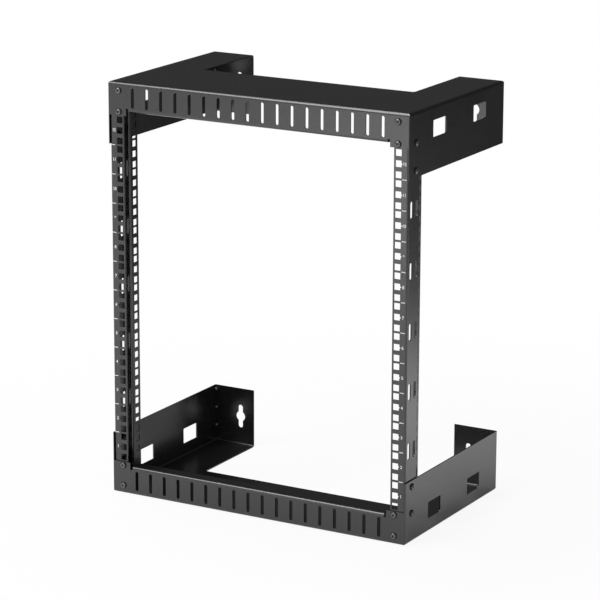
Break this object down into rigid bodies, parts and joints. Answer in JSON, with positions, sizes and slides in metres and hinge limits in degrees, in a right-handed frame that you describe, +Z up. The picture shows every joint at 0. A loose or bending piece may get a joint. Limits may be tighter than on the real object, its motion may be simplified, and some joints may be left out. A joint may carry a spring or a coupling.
{
  "type": "wall mount open frame rack",
  "caption": "Black open frame rack for a wall: two folded brackets joined by perforated posts with square equipment holes, held by screws and nuts.",
  "frame": {"origin": "middle of the footprint, on the surface that the bottom bracket stands on", "axes": "+X to the right seen from the front, +Y back to the wall, +Z up"},
  "size_m": [0.5082, 0.3031, 0.635],
  "materials": {
    "powder_coat": "fine textured black powder coat, with white printed unit marks on the posts",
    "screw_black": "black zinc plated screws, satin",
    "nut_black": "black zinc plated nuts, satin"
  },
  "bodies": {
    "root": {"bottom_bracket": "powder_coat", "top_bracket": "powder_coat", "left_post": "powder_coat", "right_post": "powder_coat", "front_screw_bottom_left_1": "screw_black", "front_screw_bottom_left_2": "screw_black", "front_screw_bottom_right_1": "screw_black", "front_screw_bottom_right_2": "screw_black", "front_screw_top_left_1": "screw_black", "front_screw_top_left_2": "screw_black", "front_screw_top_right_1": "screw_black", "front_screw_top_right_2": "screw_black", "side_screw_bottom_left_1": "screw_black", "side_screw_bottom_left_2": "screw_black", "side_screw_bottom_right_1": "screw_black", "side_screw_bottom_right_2": "screw_black", "side_screw_top_left_1": "screw_black", "side_screw_top_left_2": "screw_black", "side_screw_top_right_1": "screw_black", "side_screw_top_right_2": "screw_black", "front_nut_bottom_left_1": "nut_black", "front_nut_bottom_left_2": "nut_black", "front_nut_bottom_right_1": "nut_black", "front_nut_bottom_right_2": "nut_black", "front_nut_top_left_1": "nut_black", "front_nut_top_left_2": "nut_black", "front_nut_top_right_1": "nut_black", "front_nut_top_right_2": "nut_black", "side_nut_bottom_left_1": "nut_black", "side_nut_bottom_left_2": "nut_black", "side_nut_bottom_right_1": "nut_black", "side_nut_bottom_right_2": "nut_black", "side_nut_top_left_1": "nut_black", "side_nut_top_left_2": "nut_black", "side_nut_top_right_1": "nut_black", "side_nut_top_right_2": "nut_black"}
  },
  "joints": []
}
